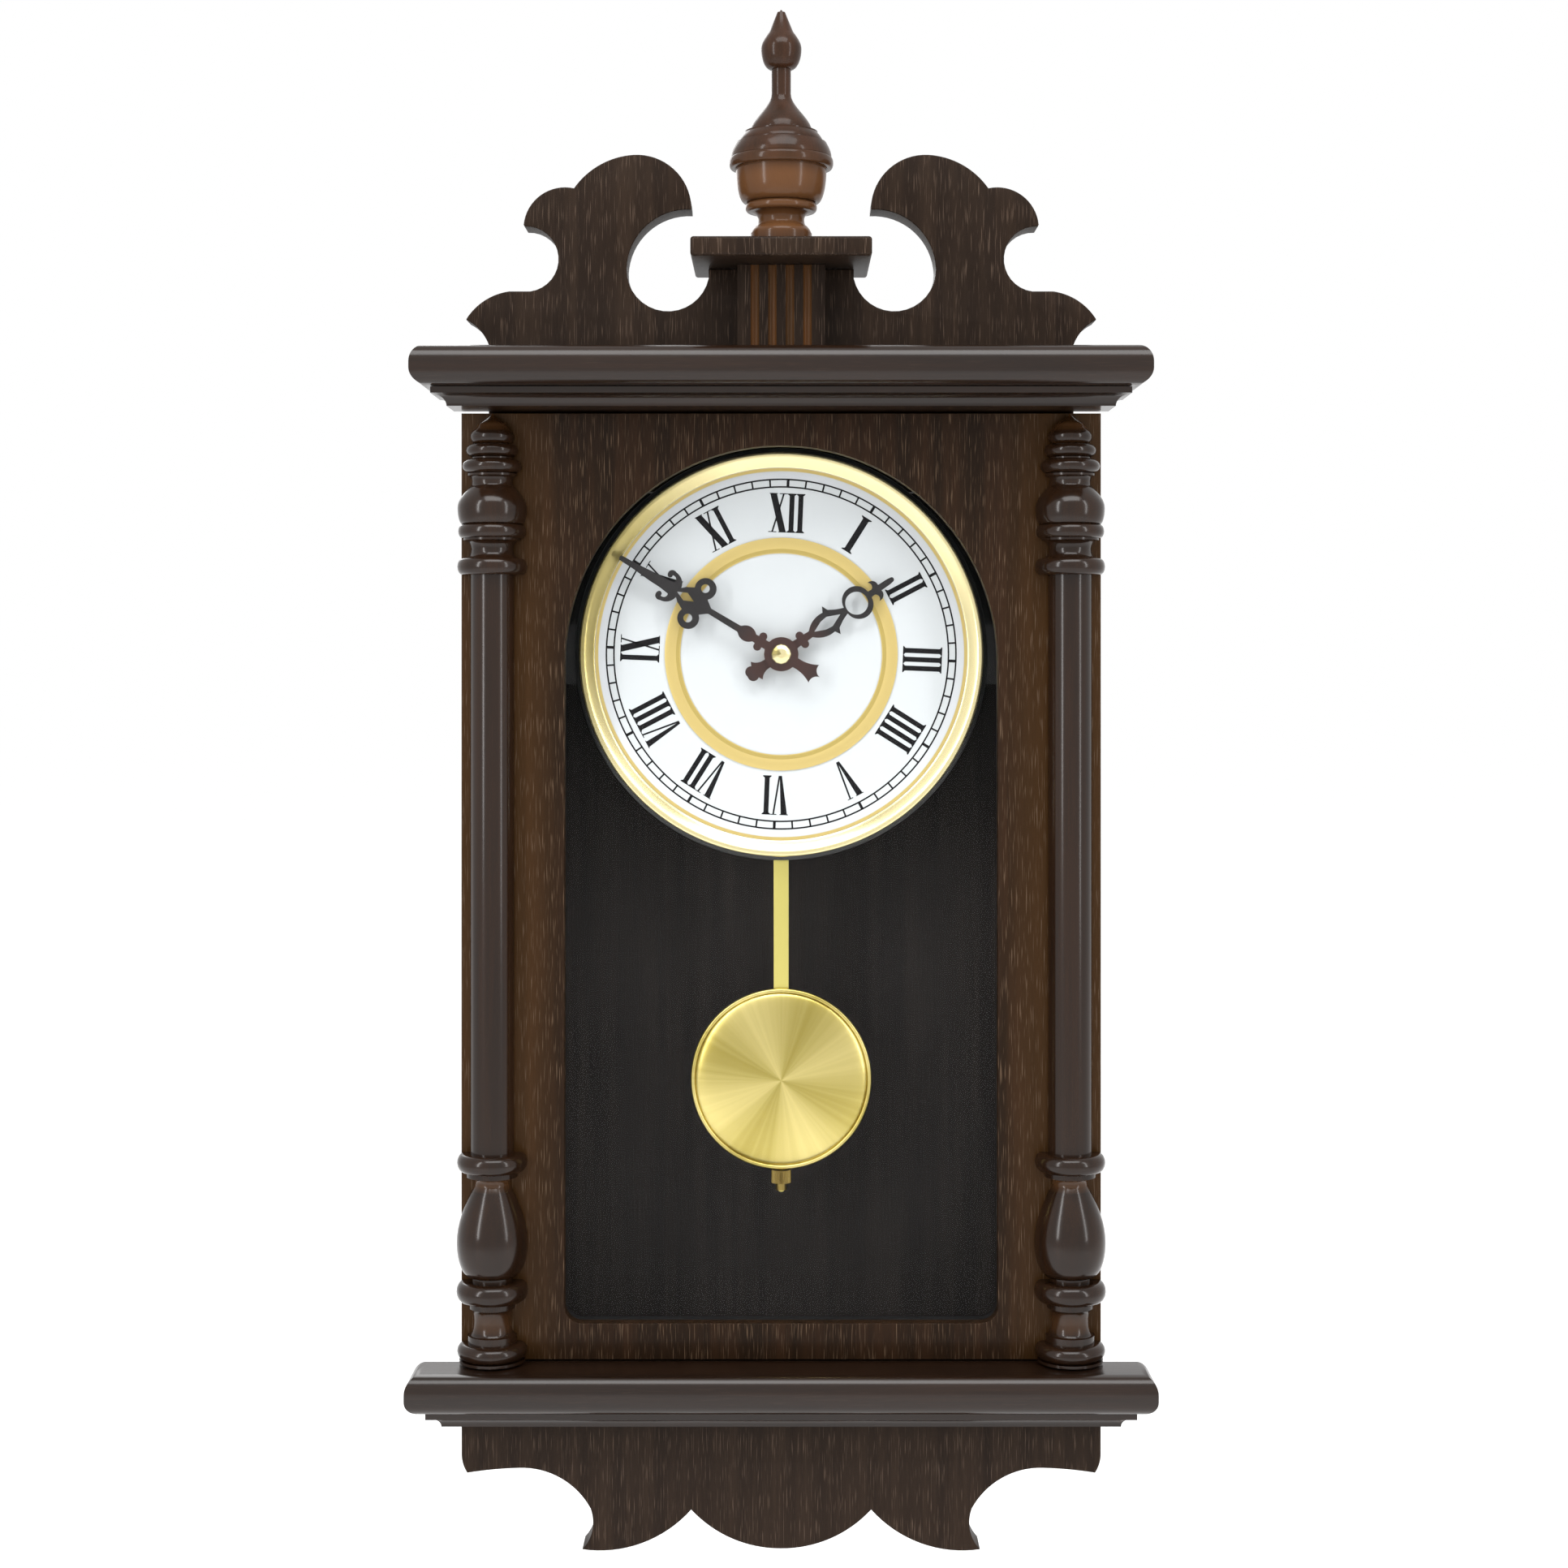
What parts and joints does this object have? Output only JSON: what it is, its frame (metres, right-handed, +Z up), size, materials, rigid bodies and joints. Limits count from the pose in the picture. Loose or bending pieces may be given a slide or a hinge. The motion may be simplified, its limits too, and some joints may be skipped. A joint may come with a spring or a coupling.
{
  "type": "pendulum wall clock",
  "caption": "Wall-hung pendulum clock: dark wood case with a scrolled crest, turned columns and an arched glazed door, over a round Roman dial and a brass bob.",
  "frame": {"origin": "on the wall plane, in the middle of the hanging rail's back face, just below the keyhole plate", "axes": "+X to the viewer's right, +Y into the wall, +Z up; the dial faces -Y"},
  "size_m": [0.3352, 0.1129, 0.699],
  "materials": {
    "front_wood": "satin walnut stain over open grain",
    "case_wood": "satin walnut stain",
    "column_wood": "semi-gloss walnut stain on turned wood",
    "finial_wood": "semi-gloss lighter walnut stain on turned wood",
    "panel_wood": "dark stained thin panel",
    "black_wood": "black paint",
    "pan_black": "satin black paint",
    "dial_white": "satin white paint with black print",
    "brass": "lacquered",
    "hinge_brass": "brass plated",
    "zinc_steel": "zinc plated",
    "copper_wire": null,
    "hand_black": "satin black paint",
    "glass": "clear",
    "black_plastic": "moulded",
    "ivory_plastic": "moulded",
    "cell_wrap": "plain sleeve",
    "board_green": "solder mask"
  },
  "bodies": {
    "case": {"case_side_left": "case_wood", "case_side_right": "case_wood", "case_top": "case_wood", "case_bottom": "case_wood", "hanging_rail": "case_wood", "backboard": "panel_wood", "hanger_plate": "zinc_steel", "cornice_board": "case_wood", "cornice_cove": "case_wood", "base_board": "case_wood", "base_cove": "case_wood", "apron_board": "front_wood", "pediment_board": "front_wood", "fluted_block": "front_wood", "finial_cap": "case_wood", "finial": "finial_wood", "catch_magnet": "black_plastic", "case_leaf_top": "hinge_brass", "case_leaf_bottom": "hinge_brass", "hinge_pin_top": "hinge_brass", "hinge_pin_bottom": "hinge_brass", "dial_batten": "black_wood", "dial_pan": "pan_black", "dial_plate": "dial_white", "dial_ring": "brass", "bezel": "brass", "centre_bush": "brass", "bush_nut": "brass", "movement_housing": "black_plastic", "movement_cover": "black_plastic", "cell_1": "cell_wrap", "cell_2": "cell_wrap", "circuit_board": "board_green", "drive_coil": "copper_wire", "speaker": "black_plastic", "pivot_pin": "zinc_steel"},
    "door": {"door_frame": "front_wood", "glass_pane": "glass", "glass_retainer": "black_plastic", "column_left": "column_wood", "column_right": "column_wood", "catch_plate": "zinc_steel", "door_leaf_top": "hinge_brass", "door_leaf_bottom": "hinge_brass"},
    "minute": {"minute_hand": "hand_black", "minute_arbor": "brass", "hand_nut": "brass"},
    "hour": {"hour_hand": "hand_black", "hour_tube": "brass"},
    "knob": {"set_knob": "ivory_plastic"},
    "lid": {"battery_cover": "black_plastic"},
    "switch": {"chime_switch": "ivory_plastic"},
    "pendulum": {"pendulum_hook": "black_plastic", "pendulum_rod": "brass", "rating_screw": "brass"},
    "bob": {"bob_front": "brass", "bob_back": "brass"},
    "rating": {"rating_nut": "brass"}
  },
  "joints": [
    {"name": "door_swing", "type": "hinge", "parent": "case", "child": "door", "pos_m": [0.1383, -0.0528, -0.0934], "axis": [0, 0, 1], "range_deg": [0, 105]},
    {"name": "minute_turn", "type": "hinge", "parent": "case", "child": "minute", "pos_m": [0, -0.0545, -0.0897], "axis": [0, 1, 0], "continuous": true},
    {"name": "hour_turn", "type": "hinge", "parent": "case", "child": "hour", "pos_m": [0, -0.0515, -0.0897], "axis": [0, 1, 0], "continuous": true},
    {"name": "set_knob_turn", "type": "hinge", "parent": "case", "child": "knob", "pos_m": [0, -0.0103, -0.0747], "axis": [0, 1, 0], "continuous": true},
    {"name": "battery_cover_slide", "type": "slide", "parent": "case", "child": "lid", "axis": [0, 0, -1], "range_m": [0, 0.036]},
    {"name": "chime_switch_slide", "type": "slide", "parent": "case", "child": "switch", "axis": [1, 0, 0], "range_m": [-0.003, 0.003]},
    {"name": "pendulum_swing", "type": "hinge", "parent": "case", "child": "pendulum", "pos_m": [0, -0.041, -0.1257], "axis": [0, 1, 0], "range_deg": [-8, 8]},
    {"name": "bob_slide", "type": "slide", "parent": "pendulum", "child": "bob", "axis": [0, 0, 1], "range_m": [-0.0015, 0.0015]},
    {"name": "rating_turn", "type": "hinge", "parent": "bob", "child": "rating", "pos_m": [0, -0.041, -0.3301], "axis": [0, 0, 1], "range_deg": [-1090, 1090]}
  ],
  "couplings": [
    {"joint": "hour_turn", "follows": "minute_turn", "ratio": 0.083333},
    {"joint": "set_knob_turn", "follows": "minute_turn", "ratio": -3},
    {"joint": "rating_turn", "follows": "bob_slide", "rad_per_m": 12566}
  ]
}
